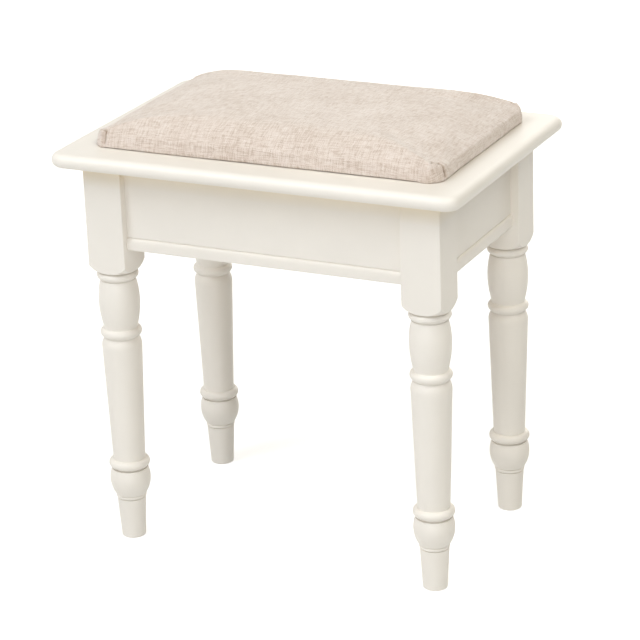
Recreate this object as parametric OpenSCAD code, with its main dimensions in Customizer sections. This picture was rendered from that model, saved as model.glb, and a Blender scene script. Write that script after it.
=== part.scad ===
// Dressing-table stool: a painted top on four turned legs, with beaded rails and a screwed-on pad.
// +X is right, +Y is back, +Z is up. The origin is on the floor under the middle of the stool.

/* [Seat top] */
// Width of the top from end to end
top_w = 460; // [380:5:560]
// Depth of the top from front to back
top_d = 310; // [260:5:380]
// Thickness of the top, whose edge is a full half round
top_t = 16; // [14:1:22]
// Plan radius of the top's corners
top_corner_r = 17; // [12:1:40]
// Overhang of the top beyond the leg blocks at the two ends
overhang_end = 28; // [10:1:40]
// Overhang of the top beyond the leg blocks at front and back
overhang_front = 26; // [10:1:40]

/* [Legs] */
// Height of a leg, from the floor to the underside of the top
leg_h = 430; // [380:5:520]
// Width of the square block at the head of a leg
block_w = 44; // [38:1:54]
// How far the block runs below the rails, down to the toe of its turned shoulder
block_drop = 27.5; // [20:0.5:40]
// Height of the turned shoulder under the block
shoulder_h = 9; // [6:0.5:14]
// Radius of the turned shoulder at its toe
shoulder_toe_r = 22.3; // [20:0.1:24]
// Radius of the shoulder's rounding in section
shoulder_round_r = 20; // [12:1:60]
// Rounding of the block's upright edges
block_edge_r = 1.2; // [0.5:0.1:3]
// Flat taken off the inner corner of the block, for the bolt
block_clip = 10; // [6:1:14]

/* [Turning] */
// Radius at the necks between the turned members
neck_r = 18.3; // [16:0.1:20]
// Height of a neck
neck_h = 1.5; // [1:0.1:3]
// Radius of the rings
ring_r = 22.3; // [20:0.1:26]
// Height of the two lower rings
ring_h = 10; // [7:0.5:14]
// Height of the top ring
top_ring_h = 8; // [6:0.5:12]
// Height of the vase between the two upper rings
vase_h = 53; // [40:1:70]
// Height of the widest part of the vase above its foot
vase_belly = 29.5; // [18:0.5:36]
// Radius of the widest part of the vase
vase_r = 22.1; // [20:0.1:26]
// Radius of the column at its head
column_head_r = 21.6; // [19:0.1:26]
// Radius of the column at its foot
column_foot_r = 17.4; // [14:0.1:24]
// Height of the rounded head of the column
column_cap_h = 9; // [5:0.5:14]
// Radius of the rounding of the column's head in section
column_cap_r = 15; // [14:1:40]
// Height of the ball above the foot
ball_h = 30.5; // [20:0.5:40]
// Height of the widest part of the ball above its underside
ball_belly = 18.5; // [10:0.5:26]
// Radius of the widest part of the ball
ball_r = 22.1; // [20:0.1:26]
// Height of the small bead under the ball
collar_h = 4.5; // [3:0.5:8]
// Radius of the small bead under the ball
collar_r = 16.5; // [15:0.1:19]
// Height of the tapered foot
foot_h = 46; // [30:1:70]
// Radius of the foot at its head
foot_head_r = 15.7; // [14:0.1:17]
// Radius of the foot at the floor
foot_toe_r = 13.2; // [10:0.1:15]
// Rounding of the foot's lower edge
foot_edge_r = 1.5; // [0.5:0.1:3]

/* [Rails] */
// Height of the rails
rail_h = 92; // [72:1:112]
// Thickness of the rails
rail_t = 18; // [15:0.5:22]
// How far the rails stand back from the faces of the leg blocks
rail_reveal = 9.5; // [4:0.5:12]
// Radius of the bead along the lower edge
bead_r = 4; // [2.5:0.5:6]
// Flat below the bead
bead_flat = 6.3; // [3:0.1:10]
// Width of the quirk above the bead
quirk_w = 1.3; // [0.8:0.1:2.5]
// Rounding of the rails' lower outer edge
rail_edge_r = 1; // [0.5:0.1:2]

/* [Pad] */
// Border of the top that shows beyond the pad at the two ends
pad_border_end = 32.5; // [20:0.5:50]
// Border of the top that shows in front of the pad and behind it
pad_border_front = 35; // [20:0.5:50]
// Thickness of the whole pad at its middle
pad_h = 36; // [30:1:45]
// Plan radius of the pad's corners
pad_corner_r = 20; // [14:1:40]
// Radius of the slow crown over the middle of the pad
crown_r = 2500; // [1800:100:3000]
// Radius of the long roll from the crown down to the two ends
end_roll_r = 195; // [60:5:240]
// Radius of the short roll from the crown down to the front and the back
front_roll_r = 47; // [36:1:80]
// Height of the pad's side above the board, where the rolls end
side_rise = 4.5; // [1:0.5:6]
// How far the pad's side draws in towards its underside
pad_tuck = 3; // [2:0.5:6]
// Thickness of the cover
cover_t = 1; // [0.8:0.1:2]
// Thickness of the cover and its wadding around the edge of the board
cover_wrap = 3.5; // [1:0.5:5]
// How far the cover is turned under the board
cover_turn = 25; // [15:1:35]
// Thickness of the plywood board
board_t = 9; // [6:0.5:12]

/* [Joinery] */
// Thickness of a corner block
brace_t = 22; // [18:1:30]
// Height of the rail left free below a corner block
brace_clear = 15; // [10:1:20]
// Gap between a corner block and the flat on the leg, closed up by the bolt's pull
brace_gap = 5; // [3:0.5:8]
// Length cut off the thin ends of a corner block
brace_tip = 3; // [2:0.5:4]
// Diameter of the dowels
dowel_d = 8; // [6:0.5:10]
// Depth of a dowel in the leg
dowel_in_leg = 14; // [10:0.5:14]
// Depth of a dowel in the rail
dowel_in_rail = 15; // [10:0.5:20]
// Distance of a dowel's middle from the edge of the rail
dowel_edge = 16; // [14:1:22]

/* [Fixings] */
// Diameter of the hanger bolts
bolt_d = 8; // [6:0.5:9]
// Depth of a hanger bolt in the leg
bolt_in_leg = 28; // [20:1:30]
// Length of bolt beyond the nut
bolt_tail = 4; // [2:0.5:10]
// Clearance hole of a corner block around the bolt, added to the bolt's diameter
bolt_play = 1; // [0.5:0.1:2]
// Diameter of the washers
washer_d = 20; // [16:1:24]
// Thickness of the washers
washer_t = 1.6; // [1:0.1:2.5]
// Width of the nuts across their flats
nut_af = 13; // [12:0.5:16]
// Height of the nuts
nut_h = 6.5; // [5:0.5:8]
// Diameter of the wood screws in the corner blocks
screw_d = 4; // [3:0.5:5]
// Diameter of the heads of those screws
screw_head_d = 8; // [7:0.5:9]
// Length of a screw from a corner block into a rail
rail_screw_l = 30; // [24:1:31]
// Distance between the two rows of screws in a corner block
rail_screw_spread = 64; // [56:1:66]
// Half the height between the two screws of a row
rail_screw_rise = 14; // [12:1:18]
// Depth of the screws from a corner block in the top
top_screw_bite = 11; // [8:0.5:12]
// Length of those screws inside the corner block
top_screw_grip = 26; // [16:1:40]
// Distance between the two screws from a corner block into the top
top_screw_spread = 28; // [26:1:34]
// Height of the round heads of those screws
pan_head_h = 2.8; // [2:0.1:4]
// Diameter of the screws that hold the pad
pad_screw_d = 5; // [4:0.5:6]
// Diameter of the heads of the pad screws
pad_screw_head_d = 10; // [9:0.5:12]
// Depth of the pad screws in the board
pad_screw_bite = 7; // [4:0.5:8]
// Distance of the pad screws from the edges of the board
pad_screw_inset = 65; // [55:1:90]
// Clearance around a fixing or a dowel in its hole
fit_gap = 0.1; // [0.05:0.05:0.3]

/* [Hidden] */
$fn = 96;

PAINT = "ivory";
BEECH = "burlywood";
PLY = "tan";
STEEL = "silver";
FABRIC = "linen";
FOAM = "lemonchiffon";

// Outer corners of the leg blocks, measured from the middle of the stool
corner_x = top_w / 2 - overhang_end;
corner_y = top_d / 2 - overhang_front;
top_z = leg_h + top_t;

// Rails
rail_z = leg_h - rail_h;
rail_inside = rail_reveal + rail_t;
front_rail_l = 2 * (corner_x - block_w);
side_rail_l = 2 * (corner_y - block_w);

// Heights of the turned members, worked down from the rails and up from the floor
shoulder_z = rail_z - block_drop;
top_ring_z = shoulder_z - neck_h - top_ring_h;
vase_z = top_ring_z - neck_h - vase_h;
mid_ring_z = vase_z - neck_h - ring_h;
column_cap_z = mid_ring_z - neck_h - column_cap_h;
ball_z = foot_h + collar_h;
low_ring_z = ball_z + ball_h + neck_h;
column_z = low_ring_z + ring_h + neck_h;

// Distances along the diagonal of a corner, from the outer corner of the leg block
diagonal = sqrt(2);
clip_at = (2 * block_w - block_clip) / diagonal;
brace_at = max(clip_at, (block_w + rail_inside) / diagonal) + brace_gap;
brace_back = brace_at + brace_t;
brace_h = rail_h - brace_clear;
brace_z = leg_h - brace_h;
bolt_z = brace_z + brace_h / 2;
bolt_start = clip_at - bolt_in_leg;
bolt_end = brace_back + washer_t + nut_h + bolt_tail;

// Pad: the board sits inside the cover, and the foam is as wide as the cover allows
pad_w = top_w - 2 * pad_border_end;
pad_d = top_d - 2 * pad_border_front;
board_in = pad_tuck + cover_wrap;
cover_in = board_in + cover_turn;
board_z = top_z + cover_t;
foam_z = board_z + board_t;

// ---- Helpers ----

// Rectangle about the origin, grown or shrunk all round by step, with rounded corners
module plan(w, d, r, step = 0) {
    x = w / 2 + step;
    y = d / 2 + step;
    round_r = r + step;
    square([2 * x, 2 * (y - round_r)], center = true);
    square([2 * (x - round_r), 2 * y], center = true);
    for (i = [-1, 1], j = [-1, 1])
        translate([i * (x - round_r), j * (y - round_r)])
            circle(round_r);
}

// Moves its children to a corner, where +X and +Y run inward from the block's outer corner
module to_corner(i, j) {
    translate([i * corner_x, j * corner_y, 0])
        mirror([i > 0 ? 1 : 0, 0, 0])
            mirror([0, j > 0 ? 1 : 0, 0])
                children();
}

module each_corner() {
    for (i = [-1, 1], j = [-1, 1])
        to_corner(i, j)
            children();
}

// Turns its children so that +Z points back along the corner's diagonal, towards the leg
module along_diagonal(at, across, z) {
    rotate([0, 0, 45])
        translate([at, across, z])
            rotate([0, -90, 0])
                children();
}

// ---- Turned leg ----

// Swelling between two heights: two arcs that meet upright at the belly
module swelling(z0, belly_z, z1, r0, belly_r, r1) {
    for (end = [[z0, r0], [z1, r1]]) {
        run = abs(end[0] - belly_z);
        rise = belly_r - end[1];
        arc_r = (run * run + rise * rise) / (2 * rise);
        intersection() {
            translate([belly_r - arc_r, belly_z])
                circle(arc_r, $fn = 4 * $fn);
            translate([0, min(end[0], belly_z)])
                square([belly_r, run]);
        }
    }
}

// Ring with a half-round rim
module ring(z, h, r) {
    translate([0, z])
        square([r - h / 2, h]);
    translate([r - h / 2, z + h / 2])
        circle(h / 2);
}

module foot() {
    polygon([
        [0, 0],
        [foot_toe_r - foot_edge_r, 0],
        [foot_toe_r, foot_edge_r],
        [foot_head_r, foot_h],
        [0, foot_h]
    ]);
    translate([foot_toe_r - foot_edge_r, foot_edge_r])
        circle(foot_edge_r);
}

module column() {
    polygon([
        [0, column_z],
        [column_foot_r, column_z],
        [column_head_r, column_cap_z],
        [0, column_cap_z]
    ]);
    intersection() {
        translate([column_head_r - column_cap_r, column_cap_z])
            circle(column_cap_r);
        translate([0, column_cap_z])
            square([column_head_r, column_cap_h]);
    }
}

// Half section of the turning, from the floor to the toe of the shoulder
module turning_section() {
    foot();
    ring(foot_h, collar_h, collar_r);
    swelling(ball_z, ball_z + ball_belly, ball_z + ball_h, collar_r, ball_r, neck_r + neck_h);
    ring(low_ring_z, ring_h, ring_r);
    column();
    ring(mid_ring_z, ring_h, ring_r);
    swelling(vase_z, vase_z + vase_belly, vase_z + vase_h, neck_r, vase_r, neck_r + neck_h / 2);
    ring(top_ring_z, top_ring_h, ring_r);
    // Necks between the members
    translate([0, ball_z + ball_h / 2])
        square([column_foot_r, column_z - ball_z - ball_h / 2]);
    translate([0, column_cap_z])
        square([neck_r, shoulder_z - column_cap_z + neck_h]);
}

// Half section of the shoulder that rounds the foot of the square block
module shoulder_section() {
    corner_r = block_w / diagonal;
    toe = [shoulder_toe_r, shoulder_z];
    heel = [corner_r, shoulder_z + shoulder_h];
    chord = norm(heel - toe);
    back_off = sqrt(pow(shoulder_round_r, 2) - pow(chord / 2, 2));
    inward = [toe[1] - heel[1], heel[0] - toe[0]] / chord;
    polygon([[0, toe[1]], toe, heel, [corner_r, leg_h], [0, leg_h]]);
    intersection() {
        translate((toe + heel) / 2 + back_off * inward)
            circle(shoulder_round_r);
        translate(toe)
            square(heel - toe);
    }
}

module leg() {
    color(PAINT)
        difference() {
            translate([block_w / 2, block_w / 2, 0]) {
                rotate_extrude()
                    turning_section();
                intersection() {
                    rotate_extrude()
                        shoulder_section();
                    translate([0, 0, shoulder_z])
                        linear_extrude(leg_h - shoulder_z)
                            plan(block_w, block_w, block_edge_r);
                }
            }
            // Flat for the bolt, only as low as the rails hide it
            rotate([0, 0, 45])
                translate([clip_at, -block_w, rail_z])
                    cube([block_w, 2 * block_w, rail_h + 1]);
            hanger_bolt(2 * fit_gap);
            corner_dowels(fit_gap);
        }
}

// ---- Rails ----

// Section of a rail: the outer face is at zero, and the bead runs along the lower edge
module rail_section() {
    difference() {
        union() {
            translate([0, rail_edge_r])
                square([rail_t, rail_h - rail_edge_r]);
            translate([rail_edge_r, 0])
                square([rail_t - rail_edge_r, rail_h]);
            translate([rail_edge_r, rail_edge_r])
                circle(rail_edge_r);
        }
        translate([-1, bead_flat])
            square([bead_r + 1, bead_r + quirk_w]);
    }
    intersection() {
        translate([bead_r, bead_flat])
            circle(bead_r);
        translate([0, bead_flat])
            square(bead_r);
    }
}

// Rail along X, with its outer face the given distance in front of the middle of the stool
module rail(length, distance) {
    color(PAINT)
        translate([-length / 2, -distance, rail_z])
            rotate([90, 0, 90])
                linear_extrude(length)
                    rail_section();
}

module rail_front() {
    difference() {
        rail(front_rail_l, corner_y - rail_reveal);
        for (i = [-1, 1])
            to_corner(i, -1)
                rail_holes();
    }
}

module rail_left() {
    difference() {
        mirror([1, -1, 0])
            rail(side_rail_l, corner_x - rail_reveal);
        for (j = [-1, 1])
            to_corner(-1, j)
                rail_holes();
    }
}

module rail_holes() {
    corner_dowels(fit_gap);
    rail_screws(fit_gap);
}

// ---- Corner joints ----

// Dowel along +X from its middle, with chamfered ends; gap makes the hole for it
module dowel(gap) {
    chamfer = dowel_d / 8;
    d = dowel_d + 2 * gap;
    translate([block_w - dowel_in_leg, 0, 0])
        rotate([0, 90, 0]) {
            translate([0, 0, chamfer])
                cylinder(h = dowel_in_leg + dowel_in_rail - 2 * chamfer, d = d);
            cylinder(h = chamfer, d1 = d - 2 * chamfer, d2 = d);
            translate([0, 0, dowel_in_leg + dowel_in_rail - chamfer])
                cylinder(h = chamfer, d1 = d, d2 = d - 2 * chamfer);
        }
}

// The dowels of both rails that meet one leg
module corner_dowels(gap) {
    for (swap = [false, true], z = [rail_z + dowel_edge, leg_h - dowel_edge])
        mirror([swap ? 1 : 0, swap ? -1 : 0, 0])
            translate([0, rail_reveal + rail_t / 2, z])
                dowel(gap);
}

module hanger_bolt(gap) {
    point = bolt_d / 2;
    length = bolt_end - bolt_start;
    d = bolt_d + 2 * gap;
    along_diagonal(bolt_end, 0, bolt_z) {
        cylinder(h = length - point, d = d);
        translate([0, 0, length - point])
            cylinder(h = point, d1 = d, d2 = d / 3);
    }
}

module washer() {
    along_diagonal(brace_back + washer_t, 0, bolt_z)
        difference() {
            cylinder(h = washer_t, d = washer_d);
            translate([0, 0, -1])
                cylinder(h = washer_t + 2, d = bolt_d + bolt_play / 2);
        }
}

module nut() {
    along_diagonal(brace_back + washer_t + nut_h, 0, bolt_z)
        difference() {
            cylinder(h = nut_h, d = nut_af / cos(30), $fn = 6);
            translate([0, 0, -1])
                cylinder(h = nut_h + 2, d = bolt_d + 2 * fit_gap);
        }
}

// Countersunk screw along +Z, with its head flush at zero; gap makes the hole for it
module countersunk_screw(length, gap) {
    d = screw_d + 2 * gap;
    head_d = screw_head_d + 2 * gap;
    cylinder(h = (head_d - d) / 2, d1 = head_d, d2 = d);
    cylinder(h = length - screw_d, d = d);
    translate([0, 0, length - screw_d])
        cylinder(h = screw_d, d1 = d, d2 = d / 4);
}

module rail_screws(gap) {
    for (side = [-1, 1], step = [-1, 1])
        along_diagonal(brace_back, side * rail_screw_spread / 2, bolt_z + step * rail_screw_rise)
            countersunk_screw(rail_screw_l, gap);
}

// Upright screw with a round head under its seat at zero; gap makes the hole for its shank
module pan_screw(d, head_d, length, gap) {
    shank_d = d + 2 * gap;
    cylinder(h = length - d, d = shank_d);
    translate([0, 0, length - d])
        cylinder(h = d, d1 = shank_d, d2 = shank_d / 4);
    if (gap == 0)
        translate([0, 0, -pan_head_h])
            cylinder(h = pan_head_h, d1 = head_d * 0.8, d2 = head_d);
}

// Seats of the screws from a corner block into the top, in the middle of the block's thickness
module at_top_screws() {
    for (side = [-1, 1])
        rotate([0, 0, 45])
            translate([brace_at + brace_t / 2, side * top_screw_spread / 2, leg_h - top_screw_grip])
                children();
}

module top_screw(gap) {
    at_top_screws()
        pan_screw(screw_d, screw_head_d, top_screw_grip + top_screw_bite, gap);
}

module corner_block() {
    inner = brace_at * diagonal;
    outer = brace_back * diagonal;
    tip = outer - rail_inside - brace_tip;
    color(BEECH)
        difference() {
            translate([0, 0, brace_z])
                linear_extrude(brace_h)
                    polygon([
                        [inner - rail_inside, rail_inside],
                        [tip, rail_inside],
                        [tip, rail_inside + brace_tip],
                        [rail_inside + brace_tip, tip],
                        [rail_inside, tip],
                        [rail_inside, inner - rail_inside]
                    ]);
            along_diagonal(brace_back + 1, 0, bolt_z)
                cylinder(h = brace_t + 2, d = bolt_d + bolt_play);
            rail_screws(fit_gap);
            top_screw(fit_gap);
            // Wells that let the heads of the upright screws in from below
            at_top_screws()
                translate([0, 0, -brace_h])
                    cylinder(h = brace_h, d = screw_head_d + 2 * bolt_play);
        }
}

// ---- Top ----

// Panel with rounded corners and a half-round edge
module bullnose_panel(w, d, t, corner_r) {
    edge_r = t / 2;
    run_x = w / 2 - corner_r;
    run_y = d / 2 - corner_r;
    translate([-run_x, edge_r - d / 2, 0])
        cube([2 * run_x, d - t, t]);
    translate([edge_r - w / 2, -run_y, 0])
        cube([w - t, 2 * run_y, t]);
    for (j = [-1, 1])
        translate([-run_x, j * (d / 2 - edge_r), edge_r])
            rotate([0, 90, 0])
                cylinder(h = 2 * run_x, r = edge_r);
    for (i = [-1, 1])
        translate([i * (w / 2 - edge_r), run_y, edge_r])
            rotate([90, 0, 0])
                cylinder(h = 2 * run_y, r = edge_r);
    for (i = [-1, 1], j = [-1, 1])
        translate([i * run_x, j * run_y, 0])
            rotate_extrude() {
                square([corner_r - edge_r, t]);
                translate([corner_r - edge_r, edge_r])
                    intersection() {
                        circle(edge_r);
                        translate([0, -edge_r])
                            square([edge_r, t]);
                    }
            }
}

module at_pad_screws() {
    for (i = [-1, 1], j = [-1, 1])
        translate([
            i * (pad_w / 2 - board_in - pad_screw_inset),
            j * (pad_d / 2 - board_in - pad_screw_inset),
            leg_h
        ])
            children();
}

module pad_screw(gap) {
    at_pad_screws()
        pan_screw(pad_screw_d, pad_screw_head_d, top_t + cover_t + pad_screw_bite, gap);
}

module seat_top() {
    color(PAINT)
        difference() {
            translate([0, 0, leg_h])
                bullnose_panel(top_w, top_d, top_t, top_corner_r);
            each_corner()
                top_screw(fit_gap);
            at_pad_screws()
                translate([0, 0, -1])
                    cylinder(h = top_t + 2, d = pad_screw_d + bolt_play / 2);
        }
}

// ---- Pad ----

// Middle of the arc that rolls the crown down to the top of the side, half the pad away
function roll_mid(half, roll_r) =
    let (
        crown_mid = [0, top_z + pad_h - crown_r],
        side_top = [half, foam_z + side_rise] - crown_mid,
        apart = crown_r - roll_r,
        reach = norm(side_top),
        turn = acos((reach * reach + apart * apart - roll_r * roll_r) / (2 * reach * apart)),
        lean = turn + atan2(side_top[1], side_top[0])
    )
    crown_mid + apart * [cos(lean), sin(lean)];

// Section across the upper pad: a crown between two rolls that it meets smoothly, sunk by step
module pad_section(half, roll_r, step) {
    mid = roll_mid(half, roll_r);
    crown_half = mid[0] * (crown_r - step) / (crown_r - roll_r);
    intersection() {
        translate([0, top_z + pad_h - crown_r])
            circle(crown_r - step, $fn = 8 * $fn);
        translate([-crown_half, foam_z])
            square([2 * crown_half, pad_h]);
    }
    for (side = [0, 1])
        mirror([side, 0])
            intersection() {
                translate(mid)
                    circle(roll_r - step, $fn = 2 * $fn);
                translate([mid[0], foam_z])
                    square([half + 1 - mid[0], pad_h]);
            }
}

// The pad above its board, with its surface sunk by step
module upper_pad(step) {
    intersection() {
        translate([0, pad_d / 2, 0])
            rotate([90, 0, 0])
                linear_extrude(pad_d)
                    pad_section(pad_w / 2, end_roll_r, step);
        translate([-pad_w / 2, 0, 0])
            rotate([90, 0, 90])
                linear_extrude(pad_w)
                    pad_section(pad_d / 2, front_roll_r, step);
        translate([0, 0, foam_z])
            linear_extrude(pad_h)
                plan(pad_w, pad_d, pad_corner_r, -step);
    }
}

module pad_board() {
    color(PLY)
        difference() {
            translate([0, 0, board_z])
                linear_extrude(board_t)
                    plan(pad_w, pad_d, pad_corner_r, -board_in);
            pad_screw(fit_gap);
        }
}

module pad_foam() {
    color(FOAM)
        upper_pad(cover_t + fit_gap);
}

// The cover: drawn in at its foot, turned under the board and left open below
module pad_cover() {
    color(FABRIC)
        difference() {
            union() {
                hull() {
                    translate([0, 0, top_z])
                        linear_extrude(cover_t)
                            plan(pad_w, pad_d, pad_corner_r, -pad_tuck, $fn = 32);
                    translate([0, 0, foam_z - cover_t])
                        linear_extrude(cover_t)
                            plan(pad_w, pad_d, pad_corner_r, $fn = 32);
                }
                upper_pad(0);
            }
            upper_pad(cover_t);
            translate([0, 0, board_z])
                linear_extrude(board_t)
                    plan(pad_w, pad_d, pad_corner_r, fit_gap - board_in);
            translate([0, 0, top_z - 1])
                linear_extrude(cover_t + 2)
                    plan(pad_w - 2 * cover_in, pad_d - 2 * cover_in, cover_turn / 2);
        }
}

// ---- The stool ----

to_corner(-1, -1) leg();  // leg_front_left
to_corner(1, -1) leg();  // leg_front_right
to_corner(-1, 1) leg();  // leg_back_left
to_corner(1, 1) leg();  // leg_back_right
rail_front();
mirror([0, 1, 0]) rail_front();  // rail_back
rail_left();
mirror([1, 0, 0]) rail_left();  // rail_right
seat_top();
pad_board();
pad_foam();
pad_cover();
to_corner(-1, -1) corner_block();  // corner_block_front_left
to_corner(1, -1) corner_block();  // corner_block_front_right
to_corner(-1, 1) corner_block();  // corner_block_back_left
to_corner(1, 1) corner_block();  // corner_block_back_right
color(BEECH) each_corner() corner_dowels(0);  // dowels
color(STEEL) each_corner() hanger_bolt(0);  // hanger_bolts
color(STEEL) each_corner() washer();  // washers
color(STEEL) each_corner() nut();  // nuts
color(STEEL) each_corner() rail_screws(0);  // block_screws
color(STEEL) each_corner() top_screw(0);  // top_screws
color(STEEL) pad_screw(0);  // pad_screws
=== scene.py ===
"""Dressing-table stool: the finishes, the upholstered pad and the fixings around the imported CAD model."""

import math

import bmesh
import bpy
import numpy as np
from mathutils import Matrix, Vector
from mathutils import noise as wave_noise
from mathutils.bvhtree import BVHTree
from mathutils.kdtree import KDTree


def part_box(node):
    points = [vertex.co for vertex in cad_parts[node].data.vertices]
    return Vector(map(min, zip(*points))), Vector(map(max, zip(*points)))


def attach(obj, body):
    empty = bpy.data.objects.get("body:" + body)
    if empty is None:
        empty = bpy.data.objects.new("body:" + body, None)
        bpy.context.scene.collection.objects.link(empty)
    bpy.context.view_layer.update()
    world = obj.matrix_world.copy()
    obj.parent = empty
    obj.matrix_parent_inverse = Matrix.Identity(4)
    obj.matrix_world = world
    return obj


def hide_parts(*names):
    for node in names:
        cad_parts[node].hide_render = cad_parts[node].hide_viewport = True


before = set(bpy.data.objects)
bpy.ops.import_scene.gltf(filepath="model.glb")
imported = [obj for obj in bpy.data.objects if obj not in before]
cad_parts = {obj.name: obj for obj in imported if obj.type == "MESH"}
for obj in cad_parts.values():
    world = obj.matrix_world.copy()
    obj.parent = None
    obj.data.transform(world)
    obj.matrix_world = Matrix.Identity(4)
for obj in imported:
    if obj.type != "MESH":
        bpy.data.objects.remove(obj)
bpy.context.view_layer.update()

MM = 0.001
BODY = "root"

# Attribute of a fabric piece: where each point lies on the flat cloth
CLOTH_PLACE = "cloth_place"
# Attribute of a fabric piece: how deep each point is tucked in behind a fold, from zero to one
TUCKED = "tucked"
# Millimetres from one thread to the next
THREAD_PITCH = 0.9

# Level of the underside of the top
TOP_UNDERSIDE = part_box("seat_top")[0].z

# Colours, linear
CREAM = (0.875, 0.833, 0.773)
# Cream in the painted shade just under the top's overhang
CREAM_SHADE = (0.85, 0.75, 0.58)
# Cream in the painted shade of quirks, necks and other creases
CREAM_CREASE_SHADE = (0.80, 0.72, 0.58)
LINEN = (0.80, 0.71, 0.645)
LINEN_LIGHT = (0.89, 0.82, 0.77)
LINEN_DARK = (0.60, 0.49, 0.41)
LINEN_SHADE = (0.55, 0.45, 0.35)
BEECH = (0.60, 0.38, 0.20)
BEECH_DARK = (0.46, 0.26, 0.12)
PLY_LIGHT = (0.66, 0.48, 0.29)
PLY_DARK = (0.42, 0.27, 0.14)
ZINC = (0.66, 0.67, 0.68)


# ---- Node trees ----

def new_material(name, colour, roughness, metallic=0.0):
    """A material, its node tree and its shader."""
    material = bpy.data.materials.new(name)
    material.use_nodes = True
    shader = material.node_tree.nodes["Principled BSDF"]
    shader.inputs["Base Color"].default_value = (*colour, 1)
    shader.inputs["Roughness"].default_value = roughness
    shader.inputs["Metallic"].default_value = metallic
    return material, material.node_tree, shader


def add(tree, kind, sockets=None, **settings):
    """Adds a node. sockets maps its inputs to values, or to outputs that are linked to them."""
    made = tree.nodes.new("ShaderNode" + kind)
    for name, value in settings.items():
        setattr(made, name, value)
    for name, value in (sockets or {}).items():
        if isinstance(value, bpy.types.NodeSocket):
            tree.links.new(value, made.inputs[name])
        else:
            made.inputs[name].default_value = value
    return made


def object_place(tree, scale=(1, 1, 1), turn=(0, 0, 0)):
    """Place on the object in millimetres, stretched and turned."""
    place = add(tree, "TexCoord").outputs["Object"]
    stretch = tuple(1 / MM * s for s in scale)
    mapping = add(tree, "Mapping", {"Vector": place, "Scale": stretch, "Rotation": turn})
    return mapping.outputs["Vector"]


def noise(tree, place, scale, detail=2.0, distortion=0.0):
    """Noise about one half, at so many waves a millimetre."""
    sockets = {"Vector": place, "Scale": scale, "Detail": detail, "Distortion": distortion}
    return add(tree, "TexNoise", sockets).outputs["Fac"]


def height_of(tree):
    """Height above the floor."""
    place = add(tree, "TexCoord").outputs["Object"]
    return add(tree, "SeparateXYZ", {0: place}).outputs["Z"]


def scaled(tree, vector, factor):
    """A colour or a place times a factor."""
    return add(tree, "VectorMath", {0: vector, "Scale": factor}, operation="SCALE").outputs[0]


def calc(tree, operation, a, b=0.0):
    """Result of a sum on one or two values."""
    return add(tree, "Math", {0: a, 1: b}, operation=operation).outputs[0]


def spread(tree, value, low, high, to_low=0.0, to_high=1.0):
    """value moved from one range to another, and held at its ends."""
    return add(tree, "MapRange", {
        "Value": value, "From Min": low, "From Max": high, "To Min": to_low, "To Max": to_high,
    }).outputs["Result"]


def blend_values(tree, share, a, b):
    """Value this share of the way from a to b."""
    return add(tree, "Mix", {0: share, 2: a, 3: b}).outputs[0]


def blend_colours(tree, share, a, b):
    """Colour this share of the way from a to b."""
    made = add(tree, "Mix", data_type="RGBA")
    for socket, value in (("Factor_Float", share), ("A_Color", a), ("B_Color", b)):
        found = next(s for s in made.inputs if s.identifier == socket)
        if isinstance(value, bpy.types.NodeSocket):
            tree.links.new(value, found)
        elif socket == "Factor_Float":
            found.default_value = value
        else:
            found.default_value = (*value, 1)
    return next(s for s in made.outputs if s.identifier == "Result_Color")


def bump(tree, height, depth, normal=None):
    """Normal of a relief this many metres deep."""
    sockets = {"Height": height, "Distance": depth}
    if normal is not None:
        sockets["Normal"] = normal
    return add(tree, "Bump", sockets).outputs["Normal"]


# ---- Finishes ----

# How far below the underside of the top the painted shade of its overhang reaches
OVERHANG_SHADE_DEEP = 24 * MM
# How near another surface has to be for a crease to be painted in shade, and the radius that paint gives an
# edge
CREASE_NEAR = 1.5 * MM
PAINT_ROUND = 0.4 * MM
# Plies of the board
PLIES = 7


def painted_wood(name, grain):
    """Satin cream paint, sprayed over wood whose grain runs along that axis, with painted shade under the
    top's overhang and in creases.
    """
    material, tree, shader = new_material(name, CREAM, 0.38)
    along = [1.0, 1.0, 1.0]
    along["xyz".index(grain)] = 0.04
    place = object_place(tree)
    grain_lines = noise(tree, object_place(tree, scale=along), 0.9, detail=3.0)
    peel = noise(tree, place, 0.55, detail=1.0)
    cloud = noise(tree, place, 0.012, detail=3.0)
    # Painted shade: the paint turns warm and darker where light only reaches it under the overhang, and
    # darker still in quirks and necks where another surface is near
    height = height_of(tree)
    clear_of_overhang_shade = spread(tree, calc(tree, "SUBTRACT", TOP_UNDERSIDE, height), 0.0, OVERHANG_SHADE_DEEP)
    clear_of_overhang_shade = calc(tree, "MAXIMUM", clear_of_overhang_shade, calc(tree, "GREATER_THAN", height, TOP_UNDERSIDE + MM))
    tone = blend_colours(tree, clear_of_overhang_shade, CREAM_SHADE, CREAM)
    crease = add(tree, "AmbientOcclusion", {"Distance": CREASE_NEAR}, samples=8).outputs["AO"]
    tone = blend_colours(tree, spread(tree, crease, 0.05, 0.5), CREAM_CREASE_SHADE, tone)
    lighter = spread(tree, cloud, 0.35, 0.65, 0.985, 1.015)
    tree.links.new(scaled(tree, tone, lighter), shader.inputs["Base Color"])
    tree.links.new(spread(tree, cloud, 0.3, 0.7, 0.34, 0.42), shader.inputs["Roughness"])
    rounded = add(tree, "Bevel", {"Radius": PAINT_ROUND}, samples=4).outputs["Normal"]
    relief = bump(tree, peel, 0.03 * MM, rounded)
    tree.links.new(bump(tree, grain_lines, 0.02 * MM, relief), shader.inputs["Normal"])
    return material


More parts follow.
